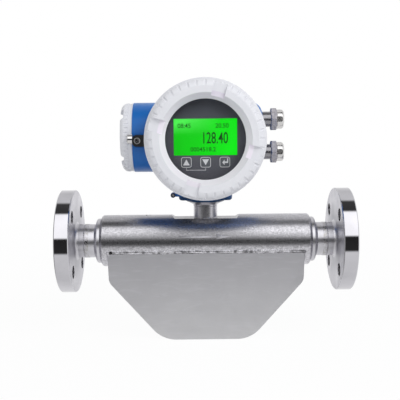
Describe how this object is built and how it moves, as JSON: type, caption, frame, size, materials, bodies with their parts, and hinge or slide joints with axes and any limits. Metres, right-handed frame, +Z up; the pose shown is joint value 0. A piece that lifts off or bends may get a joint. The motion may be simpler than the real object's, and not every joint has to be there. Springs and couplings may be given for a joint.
{
  "type": "coriolis flow meter",
  "caption": "Flanged Coriolis mass flow meter: steel body tube with a welded case below it and a blue T-shaped head with a round display, threaded white covers and cable glands.",
  "frame": {"origin": "centre of the inlet flange's raised face", "axes": "+X along the pipe in the direction of flow, +Z up, the display faces -Y"},
  "size_m": [0.326, 0.1375, 0.2839],
  "materials": {
    "flange_steel": "turned stainless steel, polished rim",
    "weld_steel": "rippled weld metal, slightly grey",
    "splitter_steel": "turned stainless steel",
    "tube_steel": "satin stainless steel tube",
    "flow_tube_steel": "drawn stainless steel",
    "bracket_steel": "cut stainless sheet",
    "copper_coil": "enamelled copper winding",
    "magnet": "nickel plated",
    "sensor_ceramic": "glazed ceramic",
    "case_plate": "bead blasted stainless plate",
    "neck_steel": "polished stainless steel",
    "feedthrough": "potted resin",
    "blue_paint": "semi-gloss blue coat on cast aluminium",
    "white_paint": "white textured coat on cast aluminium",
    "black_steel": "black oxide",
    "rubber": "matt rubber",
    "window_glass": "clear toughened glass",
    "panel": "printed display film",
    "lcd_green": "backlit green LCD",
    "key_print": "light grey print on dark film",
    "circuit_board": "solder mask",
    "brass_pillar": "turned brass",
    "component": "moulded cases",
    "terminal_plastic": "moulded polyamide",
    "plated_screw": "zinc plated",
    "nickel": "nickel plated brass",
    "lock_black": "black moulded block",
    "pin_chrome": "polished plating"
  },
  "bodies": {
    "meter_body": {"inlet_flange": "flange_steel", "outlet_flange": "flange_steel", "butt_welds": "weld_steel", "inlet_splitter": "splitter_steel", "outlet_splitter": "splitter_steel", "body_tube": "tube_steel", "front_flow_tube": "flow_tube_steel", "rear_flow_tube": "flow_tube_steel", "brace_bars": "bracket_steel", "coil_brackets": "bracket_steel", "coils": "copper_coil", "magnet_brackets": "bracket_steel", "magnets": "magnet", "temperature_sensor": "sensor_ceramic", "case_front_plate": "case_plate", "case_rear_plate": "case_plate", "case_band": "case_plate", "neck": "neck_steel", "wire_feedthrough": "feedthrough", "neck_washer": "neck_steel"},
    "head": {"head_housing": "blue_paint", "head_lock_screw": "black_steel", "display_panel": "panel", "lcd": "lcd_green", "touch_keys": "key_print", "display_board": "circuit_board", "processor_board": "circuit_board", "board_pillars": "brass_pillar", "board_parts": "component", "terminal_board": "circuit_board", "terminal_block": "terminal_plastic", "terminal_screws": "plated_screw", "gland_bodies": "nickel", "gland_seals": "rubber", "cover_lock_block": "lock_black", "cover_lock_screw": "plated_screw", "cover_lock_pin": "pin_chrome", "earth_screw": "plated_screw"},
    "display_window": {"window_gasket": "rubber", "window_glass": "window_glass", "glass_retainer": "black_steel", "display_cover_seal": "rubber"},
    "display_cover": {"display_cover": "white_paint"},
    "terminal_cover_seal": {"terminal_cover_seal": "rubber"},
    "terminal_cover": {"terminal_cover": "white_paint"},
    "upper_gland_slip_ring": {"upper_gland_slip_ring": "nickel"},
    "upper_gland_nut": {"upper_gland_nut": "nickel"},
    "lower_gland_slip_ring": {"lower_gland_slip_ring": "nickel"},
    "lower_gland_nut": {"lower_gland_nut": "nickel"}
  },
  "joints": [
    {"name": "head_turn", "type": "hinge", "parent": "meter_body", "child": "head", "pos_m": [0.163, 0, 0.045], "axis": [0, 0, 1], "range_deg": [-170, 170]},
    {"name": "display_cover_travel", "type": "slide", "parent": "head", "child": "display_window", "axis": [0, -1, 0], "range_m": [0, 0.012]},
    {"name": "display_cover_turn", "type": "hinge", "parent": "display_window", "child": "display_cover", "pos_m": [0.163, -0.065, 0.113], "axis": [0, -1, 0], "range_deg": [0, 2160]},
    {"name": "terminal_cover_travel", "type": "slide", "parent": "head", "child": "terminal_cover_seal", "axis": [-1, 0, 0], "range_m": [0, 0.007]},
    {"name": "terminal_cover_turn", "type": "hinge", "parent": "terminal_cover_seal", "child": "terminal_cover", "pos_m": [0.0851, 0, 0.1156], "axis": [-1, 0, 0], "range_deg": [0, 1260]},
    {"name": "upper_gland_travel", "type": "slide", "parent": "head", "child": "upper_gland_slip_ring", "axis": [1, 0, 0], "range_m": [0, 0.0045]},
    {"name": "upper_gland_turn", "type": "hinge", "parent": "upper_gland_slip_ring", "child": "upper_gland_nut", "pos_m": [0.2428, 0, 0.1345], "axis": [1, 0, 0], "range_deg": [0, 1080]},
    {"name": "lower_gland_travel", "type": "slide", "parent": "head", "child": "lower_gland_slip_ring", "axis": [1, 0, 0], "range_m": [0, 0.0045]},
    {"name": "lower_gland_turn", "type": "hinge", "parent": "lower_gland_slip_ring", "child": "lower_gland_nut", "pos_m": [0.2428, 0, 0.0985], "axis": [1, 0, 0], "range_deg": [0, 1080]}
  ],
  "couplings": [
    {"joint": "display_cover_travel", "follows": "display_cover_turn", "m_per_rad": 0.00031831},
    {"joint": "terminal_cover_travel", "follows": "terminal_cover_turn", "m_per_rad": 0.00031831},
    {"joint": "upper_gland_travel", "follows": "upper_gland_turn", "m_per_rad": 0.00023873},
    {"joint": "lower_gland_travel", "follows": "lower_gland_turn", "m_per_rad": 0.00023873}
  ]
}
